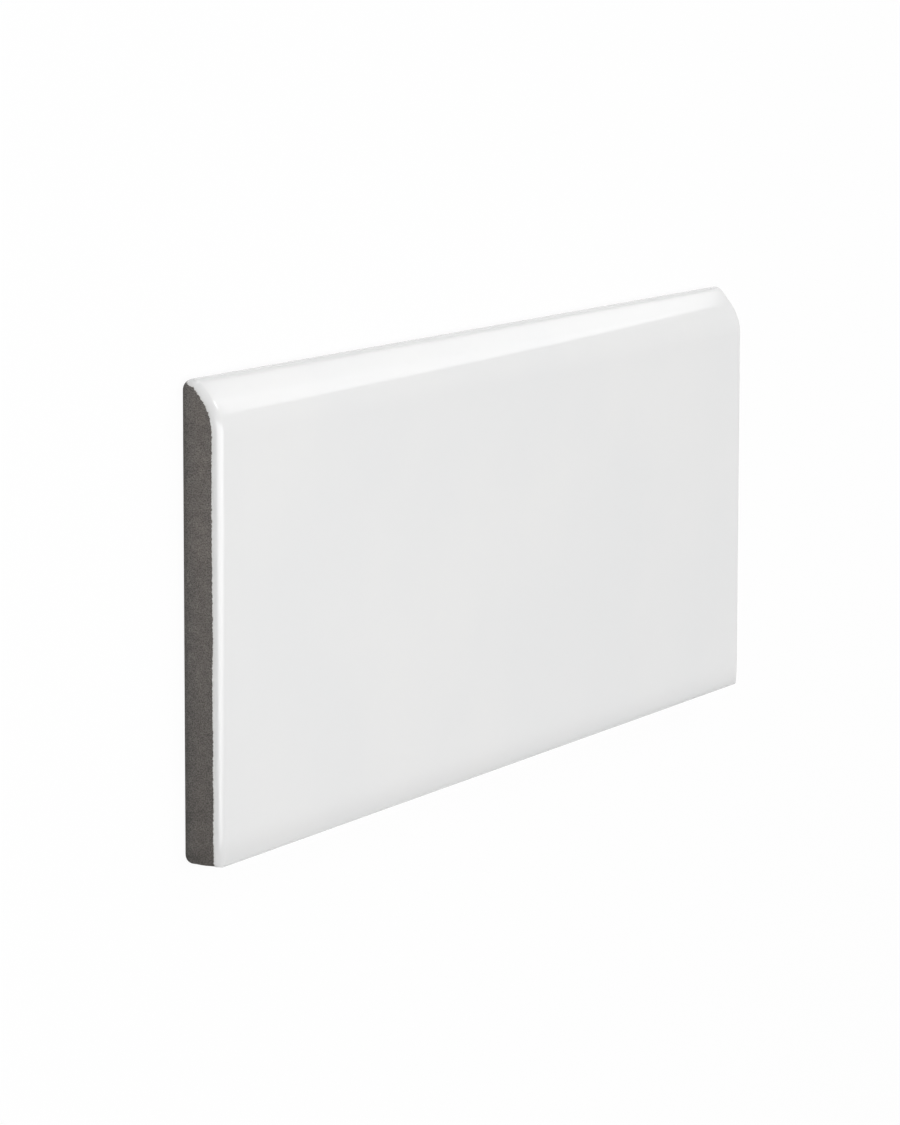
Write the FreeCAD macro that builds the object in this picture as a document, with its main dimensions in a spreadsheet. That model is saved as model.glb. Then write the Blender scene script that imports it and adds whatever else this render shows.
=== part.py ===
# Bullnose wall tile: one pressed and fired piece, lying on its back with the glazed face up.
# X runs along the length, +Y points to the rounded long edge, Z is the thickness.
# The origin is the middle of the back, on the plane that the tile lies on.
import FreeCAD, Part
import Sketcher
import math
import os

NODE = "bullnose_tile"

# Driving dimensions in millimetres, with the slope and the draft in degrees
SIZES = [
    ("length", 200.0, "long side of the tile"),
    ("width", 75.0, "plain long edge to rounded long edge"),
    ("thickness", 7.0, "back to glazed face"),
    ("bullnose_radius", 9.0, "turn of the face into the rounded long edge"),
    ("bullnose_slope", 38.5, "fall of the rounded edge below that turn"),
    ("nose_arris_radius", 1.8, "where the rounded edge turns under to the back"),
    ("cushion_radius", 45.0, "gentle fall of the face towards the plain long edge"),
    ("cushion_width", 4.5, "how far that fall reaches in from the plain long edge"),
    ("end_roll_radius", 1.5, "roll of the face, the nose and the back over to the two ends"),
    ("plain_arris_radius", 0.5, "crisp arris all round the plain long side"),
    ("key_groove_width", 5.5, "adhesive groove in the back, at its mouth"),
    ("key_groove_depth", 0.7, "depth of an adhesive groove"),
    ("key_groove_pitch", 10.0, "one groove to the next"),
    ("key_groove_draft", 25.0, "slope of a groove's sides, for the press to let go"),
    ("key_border", 7.5, "flat border round the grooved field"),
]

# A fillet that runs round a rounded corner stays smaller than that corner's radius.
CORNER_SHARE = 0.9
ROLL = f"min(Sizes.end_roll_radius, {CORNER_SHARE} * Sizes.nose_arris_radius)"
PLAIN_ARRIS = f"min(Sizes.plain_arris_radius, {CORNER_SHARE} * {ROLL})"
TOLERANCE = 1e-4

# Sketcher's numbers for the points of an element, and for the sketch's own origin and axes
START, END, CENTRE = range(1, 4)
HORIZONTAL_AXIS, VERTICAL_AXIS = range(-1, -3, -1)
ORIGIN = (HORIZONTAL_AXIS, START)

doc = FreeCAD.newDocument("BullnoseTile")

sheet = doc.addObject("Spreadsheet::Sheet", "Sizes")
for row, (alias, value, note) in enumerate(SIZES, start=1):
    sheet.set(f"A{row}", alias)
    sheet.set(f"B{row}", str(value))
    sheet.set(f"C{row}", note)
    sheet.setAlias(f"B{row}", alias)
doc.recompute()

body = doc.addObject("PartDesign::Body", NODE)
body.Label = NODE
planes = {feature.Role: feature for feature in body.Origin.OriginFeatures}


def new_sketch(name, plane):
    """A sketch on one of the body's own origin planes."""
    sketch = body.newObject("Sketcher::SketchObject", name)
    sketch.AttachmentSupport = (planes[plane], [""])
    sketch.MapMode = "FlatFace"
    return sketch


def line(start, end):
    return Part.LineSegment(FreeCAD.Vector(*start, 0), FreeCAD.Vector(*end, 0))


def arc(centre, radius, first_angle, last_angle):
    """A counter-clockwise arc, angles in radians."""
    circle = Part.Circle(FreeCAD.Vector(*centre, 0), FreeCAD.Vector(0, 0, 1), radius)
    return Part.ArcOfCircle(circle, first_angle, last_angle)


def close_loop(sketch, count, sharp_after=()):
    """Joins the sketch's elements end to start into one loop, each tangent to the next unless the
    corner after it is sharp."""
    for element in range(count):
        kind = "Coincident" if element in sharp_after else "Tangent"
        following = (element + 1) % count
        sketch.addConstraint(Sketcher.Constraint(kind, element, END, following, START))


def drive(sketch, name, expression, *constraint):
    """Adds a dimension to a sketch and binds it to the sheet."""
    index = sketch.addConstraint(Sketcher.Constraint(*constraint))
    sketch.renameConstraint(index, name)
    sketch.setExpression(f"Constraints.{name}", expression)


def section_sketch():
    """Section across the tile: Y is the sketch's first axis and Z its second."""
    half_width = sheet.width / 2
    thickness = sheet.thickness
    nose = sheet.bullnose_radius
    slope = math.radians(sheet.bullnose_slope)
    nose_arris = sheet.nose_arris_radius
    cushion = sheet.cushion_radius

    # The nose arris touches the back plane and the tile's full width. A straight slope leaves it,
    # and the bullnose arc takes that slope up to the face level.
    arris_centre = (half_width - nose_arris, nose_arris)
    slope_angle = math.pi / 2 - slope
    outward = (math.cos(slope_angle), math.sin(slope_angle))
    centre_drop = thickness - nose - nose_arris
    centre_reach = (nose - nose_arris + outward[1] * centre_drop) / outward[0]
    nose_centre = (arris_centre[0] - centre_reach, thickness - nose)
    slope_start = [c + nose_arris * n for c, n in zip(arris_centre, outward)]
    slope_end = [c + nose * n for c, n in zip(nose_centre, outward)]

    # The cushion leaves the face level and falls to the plain side, which is square to the back.
    cushion_centre = (sheet.cushion_width - half_width, thickness - cushion)
    edge_angle = math.pi / 2 + math.asin(sheet.cushion_width / cushion)
    edge_height = cushion_centre[1] + cushion * math.sin(edge_angle)

    back, nose_turn, nose_slope, nose_arc, face, cushion_arc, plain = range(7)
    sketch = new_sketch("Section", "YZ_Plane")
    sketch.addGeometry([
        line((-half_width, 0), (arris_centre[0], 0)),
        arc(arris_centre, nose_arris, -math.pi / 2, slope_angle),
        line(slope_start, slope_end),
        arc(nose_centre, nose, slope_angle, math.pi / 2),
        line((nose_centre[0], thickness), (cushion_centre[0], thickness)),
        arc(cushion_centre, cushion, math.pi / 2, edge_angle),
        line((-half_width, edge_height), (-half_width, 0)),
    ])
    close_loop(sketch, sketch.GeometryCount, sharp_after=(cushion_arc, plain))
    sketch.addConstraint([
        Sketcher.Constraint("PointOnObject", back, START, HORIZONTAL_AXIS),
        Sketcher.Constraint("Horizontal", back),
        Sketcher.Constraint("Horizontal", face),
        Sketcher.Constraint("Vertical", plain),
    ])
    drive(sketch, "plain_side", "Sizes.width / 2", "DistanceX", plain, START, *ORIGIN, half_width)
    drive(sketch, "nose_side", "Sizes.width / 2 - Sizes.nose_arris_radius",
          "DistanceX", *ORIGIN, nose_turn, CENTRE, arris_centre[0])
    drive(sketch, "thickness", "Sizes.thickness", "DistanceY", *ORIGIN, face, START, thickness)
    drive(sketch, "cushion_width", "Sizes.cushion_width",
          "DistanceX", plain, START, cushion_arc, CENTRE, sheet.cushion_width)
    drive(sketch, "nose_arris", "Sizes.nose_arris_radius", "Radius", nose_turn, nose_arris)
    drive(sketch, "bullnose", "Sizes.bullnose_radius", "Radius", nose_arc, nose)
    drive(sketch, "slope", "180 deg - Sizes.bullnose_slope * 1 deg", "Angle", nose_slope, math.pi - slope)
    drive(sketch, "cushion", "Sizes.cushion_radius", "Radius", cushion_arc, cushion)
    return sketch


def blank_pad(section):
    """The pressed blank, square at both ends."""
    pad = body.newObject("PartDesign::Pad", "Blank")
    pad.Profile = section
    pad.SideType = "Symmetric"
    pad.setExpression("Length", "Sizes.length")
    doc.recompute()
    return pad


def fillet(base, name, chosen, radius):
    """Rounds the edges of a feature whose middle point is chosen."""
    names = []
    for number, edge in enumerate(base.Shape.Edges, start=1):
        middle = edge.valueAt((edge.FirstParameter + edge.LastParameter) / 2)
        if chosen(middle):
            names.append(f"Edge{number}")
    rounded = body.newObject("PartDesign::Fillet", name)
    rounded.Base = (base, names)
    rounded.setExpression("Radius", radius)
    body.Tip = rounded
    doc.recompute()
    return rounded


def on_plain_side(point):
    return abs(point.y + sheet.width / 2) < TOLERANCE


def on_end(point):
    return abs(abs(point.x) - sheet.length / 2) < TOLERANCE


def end_roll(blank):
    """The face, the nose and the back roll over to both ends; the plain side stays square."""
    return fillet(blank, "EndRoll", lambda point: on_end(point) and not on_plain_side(point), ROLL)


def plain_arris(rolled):
    """One small arris runs round the plain side, past the rolled corners."""
    return fillet(rolled, "PlainArris", on_plain_side, PLAIN_ARRIS)


def key_grooves():
    """Parallel grooves in the back that key the tile to its adhesive, with a rib on the middle line."""
    half_count = "floor((Sizes.width / 2 - Sizes.key_border) / Sizes.key_groove_pitch)"
    outermost = f"({half_count} - 0.5) * Sizes.key_groove_pitch"
    half_run = "Sizes.length / 2 - Sizes.key_border - Sizes.key_groove_width / 2"

    radius = sheet.key_groove_width / 2
    run = sheet.length / 2 - sheet.key_border - radius
    pairs = math.floor((sheet.width / 2 - sheet.key_border) / sheet.key_groove_pitch)
    y = -(pairs - 0.5) * sheet.key_groove_pitch

    lower, right, upper, left = range(4)
    sketch = new_sketch("Groove", "XY_Plane")
    sketch.addGeometry([
        line((-run, y - radius), (run, y - radius)),
        arc((run, y), radius, -math.pi / 2, math.pi / 2),
        line((run, y + radius), (-run, y + radius)),
        arc((-run, y), radius, math.pi / 2, 3 * math.pi / 2),
    ])
    close_loop(sketch, sketch.GeometryCount)
    sketch.addConstraint([
        Sketcher.Constraint("Horizontal", lower),
        Sketcher.Constraint("Symmetric", left, CENTRE, right, CENTRE, VERTICAL_AXIS),
    ])
    drive(sketch, "radius", "Sizes.key_groove_width / 2", "Radius", right, radius)
    drive(sketch, "run", half_run, "DistanceX", *ORIGIN, right, CENTRE, run)
    drive(sketch, "outermost", outermost, "DistanceY", right, CENTRE, *ORIGIN, -y)

    groove = body.newObject("PartDesign::Pocket", "KeyGroove")
    groove.Profile = sketch
    groove.Reversed = True
    groove.setExpression("Length", "Sizes.key_groove_depth")
    groove.setExpression("TaperAngle", "-Sizes.key_groove_draft")
    body.Tip = groove
    doc.recompute()

    field = body.newObject("PartDesign::LinearPattern", "KeyField")
    field.Originals = [groove]
    field.Direction = (sketch, ["V_Axis"])
    field.Mode = "Spacing"
    field.setExpression("Offset", "Sizes.key_groove_pitch")
    field.setExpression("Occurrences", f"2 * {half_count}")
    body.Tip = field
    doc.recompute()
    return groove, field


def check(blank, groove, field):
    """Stops the build if a feature failed, a groove cut nothing or the tile isn't the stated size."""
    for item in doc.Objects:
        if "Invalid" in item.State or "Error" in item.State:
            raise RuntimeError(f"{item.Name} failed: {item.State}")
    shape = body.Shape
    if shape.isNull() or not shape.isValid() or len(shape.Solids) != 1:
        raise RuntimeError(f"{NODE} is not one valid solid")
    one_groove = blank.Shape.Volume - groove.Shape.Volume
    all_grooves = blank.Shape.Volume - field.Shape.Volume
    if one_groove <= 0 or abs(all_grooves - field.Occurrences * one_groove) > TOLERANCE * all_grooves:
        raise RuntimeError("the back's grooves were not cut")
    box = shape.optimalBoundingBox(False, False)
    sides = ((box.XLength, sheet.length), (box.YLength, sheet.width), (box.ZLength, sheet.thickness))
    for measured, stated in sides:
        if abs(measured - stated) > TOLERANCE * stated:
            raise RuntimeError(f"{NODE} measures {measured}, not {stated}")
    print(f"{NODE}: {field.Occurrences} grooves, {shape.Volume / 1000:.2f} cm3, {len(shape.Faces)} faces")


rounded_blank = plain_arris(end_roll(blank_pad(section_sketch())))
first_groove, groove_field = key_grooves()
check(rounded_blank, first_groove, groove_field)

os.makedirs("parts", exist_ok=True)
body.Shape.exportStep(f"parts/{NODE}.step")
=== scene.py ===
# Bullnose wall tile, dressed: a gloss white glaze over the face and the rounded long edge, which ends in
# a ragged lip round the ends and long sides, and bare grey-brown clay on the ends and the grooved back.
import math
import random

import bmesh
import bpy
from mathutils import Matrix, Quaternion, Vector, geometry, noise


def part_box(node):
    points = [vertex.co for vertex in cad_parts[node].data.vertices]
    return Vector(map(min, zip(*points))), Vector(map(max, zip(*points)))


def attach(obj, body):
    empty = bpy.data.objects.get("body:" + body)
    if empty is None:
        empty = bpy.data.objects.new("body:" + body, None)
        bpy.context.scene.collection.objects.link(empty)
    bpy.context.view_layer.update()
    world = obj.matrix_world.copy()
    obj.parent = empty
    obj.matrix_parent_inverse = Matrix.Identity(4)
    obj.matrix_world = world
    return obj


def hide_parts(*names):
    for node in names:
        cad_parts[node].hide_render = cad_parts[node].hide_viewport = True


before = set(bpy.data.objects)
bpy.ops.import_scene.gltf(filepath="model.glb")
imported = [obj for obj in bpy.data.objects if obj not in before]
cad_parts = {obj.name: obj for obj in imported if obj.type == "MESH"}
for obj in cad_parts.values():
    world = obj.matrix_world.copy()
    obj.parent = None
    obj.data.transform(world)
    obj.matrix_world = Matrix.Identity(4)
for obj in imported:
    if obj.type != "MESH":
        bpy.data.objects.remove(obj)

NODE = "bullnose_tile"
SLOT = "glazed_clay"
BODY = "root"
MM = 0.001
QUARTER_TURN = math.pi / 2

# The CAD model's box gives the tile's length, width and thickness, to a hundredth of a millimetre.
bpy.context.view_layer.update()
LOW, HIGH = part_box(NODE)
LENGTH, WIDTH, THICKNESS = [round(side / MM, 2) * MM for side in HIGH - LOW]

# Section and edges, as in the CAD model, with a fired tile's rounder back arris and its tighter roll at
# the ends of the plain side
BULLNOSE_RADIUS = 9.0 * MM
BULLNOSE_SLOPE = math.radians(38.5)
NOSE_ARRIS_RADIUS = 1.8 * MM
CUSHION_RADIUS = 45.0 * MM
CUSHION_WIDTH = 4.5 * MM
PLAIN_ARRIS_RADIUS = 0.5 * MM
BACK_ARRIS_RADIUS = 1.8 * MM
END_ROLL_RADIUS = 1.5 * MM
SIDE_ROLL_RADIUS = 0.8 * MM
SHARPEST_RADIUS = 0.10 * MM

# Adhesive grooves in the back, as in the CAD model, with the arrises that pressing leaves on them
GROOVE_WIDTH = 5.5 * MM
GROOVE_DEPTH = 0.7 * MM
GROOVE_PITCH = 10.0 * MM
GROOVE_DRAFT = math.radians(25.0)
GROOVE_BORDER = 7.5 * MM
GROOVE_PAIRS = math.floor((WIDTH / 2 - GROOVE_BORDER) / GROOVE_PITCH)
GROOVE_MOUTH_RADIUS = 0.3 * MM
GROOVE_FLOOR_RADIUS = 0.4 * MM

# How finely each stretch of the section, the length and the grooves is divided, and how many steps of the
# nose's turn towards the back the glaze covers
BACK_STEPS = 30
NOSE_TURN_STEPS = 10
NOSE_ARRIS_STEPS = 8
SLOPE_STEPS = 6
BULLNOSE_STEPS = 24
FACE_STEPS = 32
CUSHION_STEPS = 10
EDGE_STEPS = 8
SIDE_STEPS = 18
BACK_ARRIS_STEPS = 12
ROLL_STEPS = 16
LENGTH_STEPS = 100
GROOVE_END_STEPS = 16
GROOVE_ARRIS_STEPS = 3
GLAZED_TURN_STEPS = 4

# Points of a flat that are nearer to each other than this are one.
SAME_POINT = 1e-7

# Where the parts of the section and the glaze start and end, counted along the section
NOSE_MIDDLE = BACK_STEPS + NOSE_TURN_STEPS
GLAZE_START = NOSE_MIDDLE - GLAZED_TURN_STEPS
SLOPE_START = NOSE_MIDDLE + NOSE_ARRIS_STEPS
SLOPE_END = SLOPE_START + SLOPE_STEPS
FACE_START = SLOPE_END + BULLNOSE_STEPS
SIDE_START = FACE_START + FACE_STEPS + CUSHION_STEPS + EDGE_STEPS
SIDE_END = SIDE_START + SIDE_STEPS

# Down to what height the glaze covers the plain side, how far it stays clear of the ends' flats at the top
# of the slope and at the nose, and how softly its line turns at the nose
GLAZE_FOOT = THICKNESS - END_ROLL_RADIUS
SLOPE_CLEAR = 0.45 * MM
NOSE_CLEAR = 0.30 * MM
GLAZE_CORNER = 1.6 * MM

# Relief, all of it cut inwards from the CAD surface: the step down from glaze to clay, the wander of the
# line between them, the slow waves of the glaze and the grain of the clay, which dies out at the back
LIP_DROP = 0.14 * MM
LIP_FROM, LIP_TO = -0.22 * MM, 0.066 * MM
LIP_RINGS = (0.10 * MM, 0.22 * MM)
LINE_WANDER = 0.14 * MM
LINE_WAVELENGTH = 5.0 * MM
FINE_WANDER_SHARE = 0.4
FINE_WAVELENGTH = LINE_WAVELENGTH / 4.3
WAVE_HEIGHT = 0.035 * MM
WAVELENGTH = 34.0 * MM
GRAIN_HEIGHT = 0.05 * MM
GRAIN_SPACING = 0.45 * MM
GRAIN_SIZE = 0.7 * MM
GRAIN_JITTER = (0.1, 0.9)
GRAIN_SEED = 7
FLAT_BELOW = 0.2 * BACK_ARRIS_RADIUS

# Finish: linear colours, roughness and the glaze's index of refraction
GLAZE_WHITE = (0.800, 0.800, 0.797)
GLAZE_COOL = (0.785, 0.788, 0.789)
GLAZE_THIN = (0.745, 0.738, 0.722)
GLAZE_ROUGHNESS = 0.07
GLAZE_ROUGHER = 0.10
GLAZE_IOR = 1.6
CLAY_BROWN = (0.150, 0.135, 0.123)
CLAY_GREY = (0.127, 0.119, 0.111)
CLAY_SPECK = (0.300, 0.285, 0.263)
CLAY_ROUGHNESS = 0.92

# The glaze's edge, as distances inside its line in millimetres, and the sizes of its drift and ripple
FRAY = 0.16
EDGE_BLUR = 0.04
THIN_ZONE = 0.45
FRAY_SIZE = 0.45 * MM
DRIFT_SIZE = 30.0 * MM
RIPPLE_SIZE = 9.0 * MM

# The clay's changes of colour: the heights and places over which they run, their sizes and how far they go.
# The ones towards the plain side, at the foot and towards the back are painted shade.
BROWN_HEIGHTS = (1.0 * MM, 3.5 * MM)
BROWN_RISE = 0.7
BROWN_SIZE = 6.0 * MM
PATCH_SIZE = 1.6 * MM
PATCH_TONES = (0.88, 1.12)
SPECKLE_SIZE = 0.2 * MM
SPECKLE_TONES = (0.50, 1.50)
# Painted shade: the clay darker towards the plain side, where less light falls on the ends
PLAIN_SIDE_SHADE_PLACES = (-WIDTH / 2, 0.1 * WIDTH)
PLAIN_SIDE_SHADE_TONE = 0.76
# Painted shade of the roll at the foot of the ends, by the plain side
FOOT_SHADE_PLACES = (1.2 * MM - WIDTH / 2, 3.6 * MM - WIDTH / 2)
FOOT_SHADE_TONE = 0.80
# Painted shade of the back arris: the clay darker towards the back
BACK_SHADE_HEIGHTS = (0.3 * MM, 1.5 * MM)
BACK_SHADE_TONE = 0.82
GRIT_SPACING = 1.1 * MM
GRIT_EDGE = (0.10, 0.17)
GRIT_CHOICE = (0.72, 0.76)
BUMP_SIZE = 0.35 * MM
BUMP_DEPTH = 0.08 * MM
BUMP_STRENGTH = 0.8

# Noise: how rough and how detailed it is, its middle value, and the ranges that are spread to a full change
NOISE_ROUGHNESS = 0.55
PLAIN_DETAIL, FINE_DETAIL, GRAIN_DETAIL = 2.0, 3.0, 4.0
MIDDLE_GRAIN = 0.5
MOST_NOISE = (0.2, 0.8)
MIDDLE_NOISE = (0.25, 0.75)
INNER_NOISE = (0.3, 0.7)
CORE_NOISE = (0.35, 0.65)

# Camera: where its middle ray meets the face, and from where it looks
AIM = Vector((-22.2 * MM, 0.4 * MM, THICKNESS))
CAMERA_AZIMUTH = math.radians(171.328)
CAMERA_ELEVATION = math.radians(26.291)
CAMERA_ROLL = math.radians(93.956)
CAMERA_DISTANCE = 0.8171
CAMERA_LENS = 157.78
CAMERA_SENSOR = 36.0

# Light, as radiance where white is 1. The studio's plain side is dimmer in reflections, and the lamp for
# the near corner is turned about its own axis.
CORNER_LAMP_ROLL = math.radians(45.0)
AMBIENT = 0.23
DIM_SIDE = 0.4
DIM_FROM, DIM_TO = -0.16, -0.27
FLOOR_SIZE = 8.0
FLOOR_WHITE = 0.9
FLOOR_GLOW = 0.95


def smooth_step(low, high, value):
    share = min(max((value - low) / (high - low), 0.0), 1.0)
    return share * share * (3.0 - 2.0 * share)


def straight(start, end, count):
    """Section points from start up to, but not with, end; the outward normal is on the right of the way."""
    start, end = Vector(start), Vector(end)
    way = end - start
    normal = Vector((way.y, -way.x)).normalized()
    return [(start + way * (i / count), normal) for i in range(count)]


def arc(centre, radius, first, last, count):
    """Section points along an arc from the first angle up to, but not with, the last."""
    points = []
    for i in range(count):
        angle = first + (last - first) * i / count
        normal = Vector((math.cos(angle), math.sin(angle)))
        points.append((centre + normal * radius, normal))
    return points


def section(inset, side_inset):
    """The closed section in Y and Z, as points with normals, drawn in by an inset all round and by another
    at the plain side. It starts at the plain end of the back."""
    half = WIDTH / 2
    nose_arris = Vector((half - NOSE_ARRIS_RADIUS, NOSE_ARRIS_RADIUS))
    slope_angle = QUARTER_TURN - BULLNOSE_SLOPE
    outward = Vector((math.cos(slope_angle), math.sin(slope_angle)))
    centre_drop = THICKNESS - BULLNOSE_RADIUS - NOSE_ARRIS_RADIUS
    centre_reach = (BULLNOSE_RADIUS - NOSE_ARRIS_RADIUS + outward.y * centre_drop) / outward.x
    nose = Vector((nose_arris.x - centre_reach, THICKNESS - BULLNOSE_RADIUS))
    arris_radius = NOSE_ARRIS_RADIUS - inset
    nose_radius = BULLNOSE_RADIUS - inset
    face = THICKNESS - inset

    cushion = Vector((CUSHION_WIDTH - half, THICKNESS - CUSHION_RADIUS))
    cushion_radius = CUSHION_RADIUS - inset
    side = side_inset - half
    edge_radius = max(PLAIN_ARRIS_RADIUS - inset, SHARPEST_RADIUS)
    edge_reach = side + edge_radius - cushion.x
    edge_rise = math.sqrt((cushion_radius - edge_radius) ** 2 - edge_reach ** 2)
    edge = cushion + Vector((edge_reach, edge_rise))
    edge_angle = math.atan2(edge_rise, edge_reach)
    back_radius = max(BACK_ARRIS_RADIUS - inset, SHARPEST_RADIUS)
    back_arris = Vector((side + back_radius, inset + back_radius))

    return (
        straight((back_arris.x, inset), (nose_arris.x, inset), BACK_STEPS)
        + arc(nose_arris, arris_radius, -QUARTER_TURN, 0, NOSE_TURN_STEPS)
        + arc(nose_arris, arris_radius, 0, slope_angle, NOSE_ARRIS_STEPS)
        + straight(nose_arris + outward * arris_radius, nose + outward * nose_radius, SLOPE_STEPS)
        + arc(nose, nose_radius, slope_angle, QUARTER_TURN, BULLNOSE_STEPS)
        + straight((nose.x, face), (cushion.x, face), FACE_STEPS)
        + arc(cushion, cushion_radius, QUARTER_TURN, edge_angle, CUSHION_STEPS)
        + arc(edge, edge_radius, edge_angle, math.pi, EDGE_STEPS)
        + straight((side, edge.y), (side, back_arris.y), SIDE_STEPS)
        + arc(back_arris, back_radius, math.pi, 3 * QUARTER_TURN, BACK_ARRIS_STEPS)
    )


def nose_distances(points):
    """How far each point of the section is, along the section, from where the glaze starts on the nose."""
    along = [0.0]
    for (here, _), (there, _) in zip(points, points[1:]):
        along.append(along[-1] + (there - here).length)
    return [place - along[GLAZE_START] for place in along]


def roll_radii(points):
    """The radius over which each point of the section rolls to an end: smaller along the plain side."""
    radii = [END_ROLL_RADIUS] * len(points)
    top, bottom = points[SIDE_START][0].y, points[SIDE_END][0].y
    for number in range(SIDE_START, SIDE_END):
        height = points[number][0].y
        clear = smooth_step(0.0, END_ROLL_RADIUS, min(top - height, height - bottom))
        radii[number] += (SIDE_ROLL_RADIUS - END_ROLL_RADIUS) * clear
    return radii


def end_section(turned, drawn):
    """The section drawn in as at a stage of an end's roll, from 0 to 1, and then evenly."""
    return section(END_ROLL_RADIUS * turned + drawn, SIDE_ROLL_RADIUS * turned + drawn)


REST = end_section(0.0, 0.0)
FROM_NOSE = nose_distances(REST)
ROLLS = roll_radii(REST)


def inside_glaze(number, height, from_end):
    """How far inside the glaze a point of a ring is: from its line round the end, and from the one on the
    plain side or on the nose, where the two lines run into each other in a curve."""
    if number >= FACE_START:
        return min(from_end, height - GLAZE_FOOT)
    from_nose = FROM_NOSE[number]
    clear = NOSE_CLEAR + (SLOPE_CLEAR - NOSE_CLEAR) * smooth_step(GLAZE_START, SLOPE_END, number)
    from_end = from_end - clear * smooth_step(FACE_START, SLOPE_END, number)
    turn = max(1.0 - abs(from_nose - from_end) / GLAZE_CORNER, 0.0)
    return min(from_nose, from_end) - turn * turn * GLAZE_CORNER / 4


def hills(point, wavelength):
    """Noise from 0 to 1."""
    return 0.5 + 0.5 * noise.noise(point / wavelength)


def relief(point, inside):
    """How far the surface is cut in at a point, and the point's distance inside the wandering glaze line."""
    fine_wander = FINE_WANDER_SHARE * noise.noise(point / FINE_WAVELENGTH)
    inside = inside + LINE_WANDER * (noise.noise(point / LINE_WAVELENGTH) + fine_wander)
    bare = 1.0 - smooth_step(LIP_FROM, LIP_TO, inside)
    clear_of_back = smooth_step(FLAT_BELOW, BACK_ARRIS_RADIUS, point.z)
    clay_depth = clear_of_back * (LIP_DROP + GRAIN_HEIGHT * hills(point, GRAIN_SIZE))
    return bare * clay_depth + (1.0 - bare) * WAVE_HEIGHT * hills(point, WAVELENGTH), inside


class Shell:
    """The tile's surface while it is being made: points, their distance inside the glaze, and faces."""

    def __init__(self):
        self.points = []
        self.inside = []
        self.faces = []

    def add(self, point, normal, inside):
        depth, wandered = relief(point, inside)
        self.points.append(point - normal * depth)
        self.inside.append(wandered)
        return len(self.points) - 1

    def join(self, loop, next_loop):
        """Quads between two closed loops of as many points."""
        for i, corner in enumerate(loop):
            j = (i + 1) % len(loop)
            self.faces.append([corner, loop[j], next_loop[j], next_loop[i]])

    def fill(self, outline, holes, loose, axes):
        """Triangles inside an outline, round its holes and through its loose points, seen along one axis."""
        ids = outline + [corner for hole in holes for corner in hole] + loose
        flat = [Vector([self.points[corner][axis] for axis in axes]) for corner in ids]
        loops = []
        start = 0
        for loop in [outline] + holes:
            loops.append(list(range(start, start + len(loop))))
            start += len(loop)
        inside_with_holes = 2
        _, _, triangles, sources, _, _ = geometry.delaunay_2d_cdt(
            flat, [], loops, inside_with_holes, SAME_POINT)
        for triangle in triangles:
            self.faces.append([ids[sources[corner][0]] for corner in triangle])


def end_ring(shell, side, angle, drawn):
    """A ring of points round one end, at an angle of its roll, or drawn in from the roll on the flat."""
    lean = math.cos(angle)
    ring = []
    for number, (place, normal) in enumerate(end_section(1 - lean, drawn)):
        x = side * (LENGTH / 2 - ROLLS[number] * (1 - math.sin(angle)))
        from_end = ROLLS[number] * (QUARTER_TURN - angle) - drawn
        outward = Vector((side * math.sin(angle), normal.x * lean, normal.y * lean))
        inside = inside_glaze(number, place.y, from_end)
        ring.append(shell.add(Vector((x, *place)), outward, inside))
    return ring


def rolled_end(shell, side):
    """One end's rings, from the flat of the end over its roll to the tile's full section."""
    rings = [end_ring(shell, side, QUARTER_TURN, drawn) for drawn in reversed(LIP_RINGS)]
    for step in range(ROLL_STEPS, -1, -1):
        rings.append(end_ring(shell, side, QUARTER_TURN * step / ROLL_STEPS, 0.0))
    for ring, next_ring in zip(rings, rings[1:]):
        shell.join(ring, next_ring)
    return rings


def middle_ring(shell, x):
    """The tile's full section at a place along it, without the flat of the back."""
    from_end = END_ROLL_RADIUS * QUARTER_TURN + LENGTH / 2 - END_ROLL_RADIUS - abs(x)
    ring = []
    for number, (place, normal) in enumerate(REST):
        if 0 < number < BACK_STEPS:
            ring.append(None)
            continue
        outward = Vector((0, *normal))
        inside = inside_glaze(number, place.y, from_end)
        ring.append(shell.add(Vector((x, *place)), outward, inside))
    return ring


def sweep(shell):
    """The surface round both ends and between them, open at the flats of the ends and of the back.
    Returns the rings that bound those flats."""
    left, right = rolled_end(shell, -1), rolled_end(shell, 1)
    reach = LENGTH / 2 - END_ROLL_RADIUS
    between = [middle_ring(shell, reach * (2 * i / LENGTH_STEPS - 1)) for i in range(1, LENGTH_STEPS)]
    rings = [left[-1]] + between + [right[-1]]
    for ring, next_ring in zip(rings, rings[1:]):
        for number in range(BACK_STEPS, len(REST)):
            after = (number + 1) % len(REST)
            shell.faces.append([ring[number], ring[after], next_ring[after], next_ring[number]])
    return left[0], rings, right[0]


def close_end(shell, ring, side, draws):
    """The flat of one end, with loose points through it for the clay's grain."""
    drawn = max(LIP_RINGS)
    edge = end_section(1.0, drawn)
    loose = []
    for row in range(math.floor(THICKNESS / GRAIN_SPACING)):
        for column in range(math.floor(WIDTH / GRAIN_SPACING)):
            y = (column + draws.uniform(*GRAIN_JITTER)) * GRAIN_SPACING - WIDTH / 2
            z = (row + draws.uniform(*GRAIN_JITTER)) * GRAIN_SPACING
            spot = Vector((y, z))
            clear = min((place - spot).dot(normal) for place, normal in edge)
            if clear > GRAIN_SPACING / 2:
                at = Vector((side * LENGTH / 2, y, z))
                loose.append(shell.add(at, Vector((side, 0, 0)), -clear - drawn))
    shell.fill(ring, [], loose, axes=(1, 2))


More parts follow.
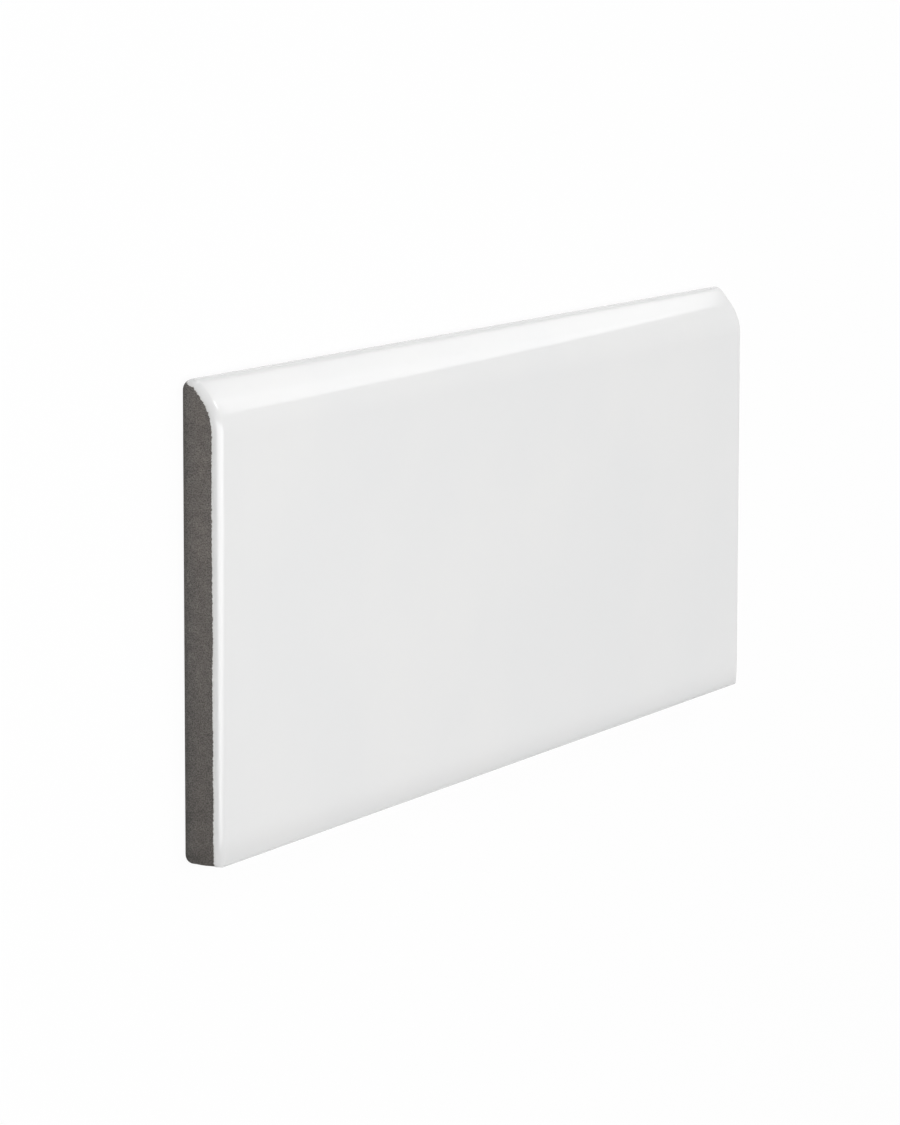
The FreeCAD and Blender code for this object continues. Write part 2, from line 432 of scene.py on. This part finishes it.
def groove_profile():
    """How far a groove's wall has come in from its mouth, and its height, from the land to the floor."""
    slope = QUARTER_TURN - GROOVE_DRAFT
    corner = math.tan(slope / 2)
    mouth = Vector((-GROOVE_MOUTH_RADIUS * corner, GROOVE_MOUTH_RADIUS))
    floor_in = GROOVE_DEPTH * math.tan(GROOVE_DRAFT)
    floor = Vector((floor_in + GROOVE_FLOOR_RADIUS * corner, GROOVE_DEPTH - GROOVE_FLOOR_RADIUS))
    profile = []
    for step in range(GROOVE_ARRIS_STEPS + 1):
        angle = -QUARTER_TURN + slope * step / GROOVE_ARRIS_STEPS
        profile.append(mouth + GROOVE_MOUTH_RADIUS * Vector((math.cos(angle), math.sin(angle))))
    for step in range(GROOVE_ARRIS_STEPS + 1):
        angle = math.pi - GROOVE_DRAFT - slope * step / GROOVE_ARRIS_STEPS
        profile.append(floor + GROOVE_FLOOR_RADIUS * Vector((math.cos(angle), math.sin(angle))))
    return profile


def groove(shell, y):
    """One groove with round ends; returns its loop in the flat of the back."""
    run = LENGTH / 2 - GROOVE_BORDER - GROOVE_WIDTH / 2
    loops = []
    for drawn, height in groove_profile():
        radius = GROOVE_WIDTH / 2 - drawn
        loop = []
        for end in (1, -1):
            for step in range(GROOVE_END_STEPS + 1):
                angle = math.pi * step / GROOVE_END_STEPS - end * QUARTER_TURN
                spot = Vector((end * run + radius * math.cos(angle), y + radius * math.sin(angle), height))
                loop.append(shell.add(spot, Vector((0, 0, -1)), -GROOVE_BORDER))
        loops.append(loop)
    for loop, next_loop in zip(loops, loops[1:]):
        shell.join(loop, next_loop)
    shell.fill(loops[-1], [], [], axes=(0, 1))
    return loops[0]


def close_back(shell, rings):
    """The flat of the back round its grooves."""
    holes = []
    for pair in range(GROOVE_PAIRS):
        for side in (-1, 1):
            holes.append(groove(shell, side * (pair + 0.5) * GROOVE_PITCH))
    left, right = rings[0], rings[-1]
    outline = left[BACK_STEPS:0:-1] + [ring[0] for ring in rings]
    outline += right[1:BACK_STEPS] + [ring[BACK_STEPS] for ring in reversed(rings[1:])]
    shell.fill(outline, holes, [], axes=(0, 1))


def tile_mesh():
    shell = Shell()
    draws = random.Random(GRAIN_SEED)
    left_end, rings, right_end = sweep(shell)
    close_end(shell, left_end, -1, draws)
    close_end(shell, right_end, 1, draws)
    close_back(shell, rings)

    mesh = bpy.data.meshes.new("glazed_tile")
    mesh.from_pydata(shell.points, [], shell.faces)
    glaze = mesh.attributes.new("glaze", "FLOAT", "POINT")
    glaze.data.foreach_set("value", [inside / MM for inside in shell.inside])
    work = bmesh.new()
    work.from_mesh(mesh)
    bmesh.ops.recalc_face_normals(work, faces=work.faces)
    work.to_mesh(mesh)
    work.free()
    mesh.shade_smooth()
    return mesh


def add_node(tree, kind, inputs, **settings):
    """A node with its settings; an input is a value, or a socket to link."""
    node = tree.nodes.new(kind)
    for name, value in settings.items():
        setattr(node, name, value)
    for name, value in inputs.items():
        if isinstance(value, bpy.types.NodeSocket):
            tree.links.new(value, node.inputs[name])
        else:
            node.inputs[name].default_value = value
    return node


def calculate(tree, operation, first, second):
    return add_node(tree, "ShaderNodeMath", {0: first, 1: second}, operation=operation).outputs[0]


def spread(tree, value, low, high, to_low=0.0, to_high=1.0):
    """Carries a value from one range to another, smoothly and no further."""
    inputs = {"Value": value, "From Min": low, "From Max": high, "To Min": to_low, "To Max": to_high}
    return add_node(tree, "ShaderNodeMapRange", inputs, interpolation_type="SMOOTHSTEP").outputs[0]


def mix_colour(tree, share, first, second, blend="MIX"):
    node = add_node(tree, "ShaderNodeMix", {0: share}, data_type="RGBA", blend_type=blend)
    for socket, value in ((node.inputs[6], first), (node.inputs[7], second)):
        if isinstance(value, bpy.types.NodeSocket):
            tree.links.new(value, socket)
        else:
            socket.default_value = (*value, 1.0)
    return node.outputs[2]


def mottle(tree, place, size, detail=PLAIN_DETAIL):
    """Noise from 0 to 1 whose patches are about as large as size."""
    inputs = {"Vector": place, "Scale": 1.0 / size, "Detail": detail, "Roughness": NOISE_ROUGHNESS}
    return add_node(tree, "ShaderNodeTexNoise", inputs).outputs["Fac"]


def clay_base(tree, place, height):
    """Grey at the back and browner towards the glaze."""
    rising = spread(tree, height, *BROWN_HEIGHTS, 0.0, BROWN_RISE)
    drifting = spread(tree, mottle(tree, place, BROWN_SIZE), *CORE_NOISE, 0.0, 1.0 - BROWN_RISE)
    return mix_colour(tree, calculate(tree, "ADD", rising, drifting), CLAY_GREY, CLAY_BROWN)


def clay_colour(tree, place):
    """The clay's base colour, patched and speckled, with painted shade that darkens it towards the plain
    side, at its foot and towards the back, and with light grit in it.
    """
    _, across, height = add_node(tree, "ShaderNodeSeparateXYZ", {0: place}).outputs
    tones = (
        spread(tree, mottle(tree, place, PATCH_SIZE, FINE_DETAIL), *MIDDLE_NOISE, *PATCH_TONES),
        spread(tree, mottle(tree, place, SPECKLE_SIZE, FINE_DETAIL), *MIDDLE_NOISE, *SPECKLE_TONES),
        # painted shade, darker towards the plain side
        spread(tree, across, *PLAIN_SIDE_SHADE_PLACES, PLAIN_SIDE_SHADE_TONE, 1.0),
        # painted shade at the foot, by the plain side
        spread(tree, across, *FOOT_SHADE_PLACES, FOOT_SHADE_TONE, 1.0),
        # painted shade, darker towards the back
        spread(tree, height, *BACK_SHADE_HEIGHTS, BACK_SHADE_TONE, 1.0),
    )
    shade = 1.0
    for tone in tones:
        shade = calculate(tree, "MULTIPLY", shade, tone)
    grey = add_node(tree, "ShaderNodeCombineColor", {"Red": shade, "Green": shade, "Blue": shade}).outputs[0]
    shaded = mix_colour(tree, 1.0, clay_base(tree, place, height), grey, "MULTIPLY")
    grit = add_node(tree, "ShaderNodeTexVoronoi", {"Vector": place, "Scale": 1.0 / GRIT_SPACING}).outputs
    near = spread(tree, grit["Distance"], *GRIT_EDGE, 1.0, 0.0)
    lot = add_node(tree, "ShaderNodeSeparateColor", {0: grit["Color"]}).outputs["Red"]
    chosen = spread(tree, lot, *GRIT_CHOICE)
    return mix_colour(tree, calculate(tree, "MULTIPLY", near, chosen), shaded, CLAY_SPECK)


def glaze_colour(tree, place, inside):
    """White with a faint cool drift, thinner and greyer where it runs out."""
    drift = spread(tree, mottle(tree, place, DRIFT_SIZE), *INNER_NOISE)
    body = mix_colour(tree, drift, GLAZE_WHITE, GLAZE_COOL)
    return mix_colour(tree, spread(tree, inside, 0.0, THIN_ZONE), GLAZE_THIN, body)


def glazed_clay():
    """Glaze where the mesh's glaze distance, in millimetres, is above a frayed zero, and clay elsewhere."""
    material = bpy.data.materials.new(SLOT)
    material.use_nodes = True
    tree = material.node_tree
    place = add_node(tree, "ShaderNodeTexCoord", {}).outputs["Object"]
    distance = add_node(tree, "ShaderNodeAttribute", {}, attribute_name="glaze").outputs["Fac"]
    fray = spread(tree, mottle(tree, place, FRAY_SIZE, FINE_DETAIL), *MOST_NOISE, -FRAY, FRAY)
    inside = calculate(tree, "ADD", distance, fray)
    glazed = spread(tree, inside, -EDGE_BLUR, EDGE_BLUR)

    colour = mix_colour(tree, glazed, clay_colour(tree, place), glaze_colour(tree, place, inside))
    ripple = mottle(tree, place, RIPPLE_SIZE)
    gloss = spread(tree, ripple, *MOST_NOISE, GLAZE_ROUGHNESS, GLAZE_ROUGHER)
    roughness = add_node(tree, "ShaderNodeMix", {0: glazed, 2: CLAY_ROUGHNESS, 3: gloss}).outputs[0]
    grain = mottle(tree, place, BUMP_SIZE, GRAIN_DETAIL)
    height = add_node(tree, "ShaderNodeMix", {0: glazed, 2: grain, 3: MIDDLE_GRAIN}).outputs[0]
    bump_inputs = {"Strength": BUMP_STRENGTH, "Distance": BUMP_DEPTH, "Height": height}
    bump = add_node(tree, "ShaderNodeBump", bump_inputs)

    shader = tree.nodes["Principled BSDF"]
    shader.inputs["IOR"].default_value = GLAZE_IOR
    tree.links.new(colour, shader.inputs["Base Color"])
    tree.links.new(roughness, shader.inputs["Roughness"])
    tree.links.new(bump.outputs["Normal"], shader.inputs["Normal"])
    return material


def add_object(name, data):
    thing = bpy.data.objects.new(name, data)
    bpy.context.scene.collection.objects.link(thing)
    return thing


def add_tile():
    mesh = tile_mesh()
    mesh.materials.append(glazed_clay())
    tile = add_object("glazed_tile", mesh)
    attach(tile, BODY)
    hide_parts(NODE)


def seen_rays(tree):
    """1 for the rays that see the floor and the world as background, and 0 for those that gather light."""
    path = add_node(tree, "ShaderNodeLightPath", {}).outputs
    seen = calculate(tree, "MAXIMUM", path["Is Camera Ray"], path["Is Glossy Ray"])
    return calculate(tree, "MAXIMUM", seen, path["Is Transmission Ray"])


def add_floor():
    """A plain white floor, seen as white with the tile's shadow on it."""
    mesh = bpy.data.meshes.new("floor")
    reach = FLOOR_SIZE / 2
    corners = [(-reach, -reach, 0), (reach, -reach, 0), (reach, reach, 0), (-reach, reach, 0)]
    mesh.from_pydata(corners, [], [(0, 1, 2, 3)])
    material = bpy.data.materials.new("floor")
    material.use_nodes = True
    tree = material.node_tree
    tree.nodes.remove(tree.nodes["Principled BSDF"])
    paint = add_node(tree, "ShaderNodeBsdfDiffuse", {"Color": (FLOOR_WHITE, FLOOR_WHITE, FLOOR_WHITE, 1.0)})
    glow = add_node(tree, "ShaderNodeEmission", {"Strength": 1.0})
    share = calculate(tree, "MULTIPLY", seen_rays(tree), FLOOR_GLOW)
    both = add_node(tree, "ShaderNodeMixShader", {0: share, 1: paint.outputs[0], 2: glow.outputs[0]})
    tree.links.new(both.outputs[0], tree.nodes["Material Output"].inputs["Surface"])
    mesh.materials.append(material)
    floor = add_object("floor", mesh)


def add_world():
    """White to look at, an even soft light at a lower level, and a dimmer plain side in reflections."""
    world = bpy.data.worlds.new("studio")
    world.use_nodes = True
    tree = world.node_tree
    direction = add_node(tree, "ShaderNodeTexCoord", {}).outputs["Generated"]
    across = add_node(tree, "ShaderNodeSeparateXYZ", {0: direction}).outputs["Y"]
    reflected = spread(tree, across, DIM_TO, DIM_FROM, DIM_SIDE, 1.0)
    camera = add_node(tree, "ShaderNodeLightPath", {}).outputs["Is Camera Ray"]
    shown = add_node(tree, "ShaderNodeMix", {0: camera, 2: reflected, 3: 1.0}).outputs[0]
    strength = add_node(tree, "ShaderNodeMix", {0: seen_rays(tree), 2: AMBIENT, 3: shown}).outputs[0]
    background = tree.nodes["Background"]
    background.inputs["Color"].default_value = (1.0, 1.0, 1.0, 1.0)
    tree.links.new(strength, background.inputs["Strength"])
    bpy.context.scene.world = world


def add_softbox(name, centre, turn, size, radiance, fades, taper=0.0):
    """A soft-edged lamp. The fades are shares of its size over which it dims to nothing at its left,
    right, low and high edges; the low and high ones close in to the right by the taper, a share too."""
    lamp = bpy.data.lights.new(name, "AREA")
    lamp.shape = "RECTANGLE"
    lamp.size, lamp.size_y = size
    lamp.energy = radiance * math.pi * size[0] * size[1]
    lamp.use_nodes = True
    tree = lamp.node_tree
    place = add_node(tree, "ShaderNodeNewGeometry", {}).outputs["Parametric"]
    across, up, _ = add_node(tree, "ShaderNodeSeparateXYZ", {0: place}).outputs
    closed = calculate(tree, "MULTIPLY", across, taper)
    from_right = calculate(tree, "SUBTRACT", 1.0, across)
    from_low = calculate(tree, "SUBTRACT", up, closed)
    from_high = calculate(tree, "SUBTRACT", calculate(tree, "SUBTRACT", 1.0, up), closed)
    strength = 1.0
    for inside, fade in zip((across, from_right, from_low, from_high), fades):
        strength = calculate(tree, "MULTIPLY", strength, spread(tree, inside, 0.0, fade))
    tree.links.new(strength, tree.nodes["Emission"].inputs["Strength"])
    box = add_object(name, lamp)
    box.location = centre
    box.rotation_mode = "QUATERNION"
    box.rotation_quaternion = turn


def add_lamps():
    """A long softbox overhead, a low one that faces the bullnose, one past the far end that shows in the
    bullnose, and a leaning one aimed at the bullnose's near corner."""
    down = Quaternion()
    back_across = Vector((0, -1, 0)).to_track_quat("-Z", "Y")
    back_along = Vector((-1, 0, 0)).to_track_quat("-Z", "Y")
    corner_lamp = Vector((0.615, 0.543, 0.488))
    to_corner = Vector((-LENGTH / 2, WIDTH / 2, 0.0)) - corner_lamp
    leaning = to_corner.to_track_quat("-Z", "Y") @ Quaternion((0, 0, 1), CORNER_LAMP_ROLL)
    add_softbox("overhead", centre=(-0.20, 0.02, 0.70), turn=down, size=(1.9, 0.78),
                radiance=3.42, fades=(0.29, 0.15, 0.14, 0.14), taper=0.37)
    add_softbox("bullnose_side", centre=(0.0, 1.0, 0.27), turn=back_across, size=(1.6, 0.50),
                radiance=0.9, fades=(0.20, 0.20, 0.20, 0.20))
    add_softbox("far_side", centre=(0.475, 0.274, 0.17), turn=back_along, size=(0.174, 0.34),
                radiance=0.95, fades=(0.03, 0.10, 0.25, 0.20), taper=0.30)
    add_softbox("corner", centre=corner_lamp, turn=leaning, size=(0.40, 0.22),
                radiance=5.5, fades=(0.10, 0.20, 0.20, 0.20))


def add_camera():
    level = math.cos(CAMERA_ELEVATION)
    towards = Vector((level * math.cos(CAMERA_AZIMUTH), level * math.sin(CAMERA_AZIMUTH),
                      math.sin(CAMERA_ELEVATION)))
    data = bpy.data.cameras.new("camera")
    data.sensor_width = CAMERA_SENSOR
    data.lens = CAMERA_LENS
    camera = add_object("camera", data)
    camera.location = AIM + towards * CAMERA_DISTANCE
    camera.rotation_mode = "QUATERNION"
    camera.rotation_quaternion = (-towards).to_track_quat("-Z", "Y") @ Quaternion((0, 0, 1), CAMERA_ROLL)
    bpy.context.scene.camera = camera


add_tile()
add_floor()
add_world()
add_lamps()
add_camera()
bpy.context.scene.view_settings.view_transform = "Standard"
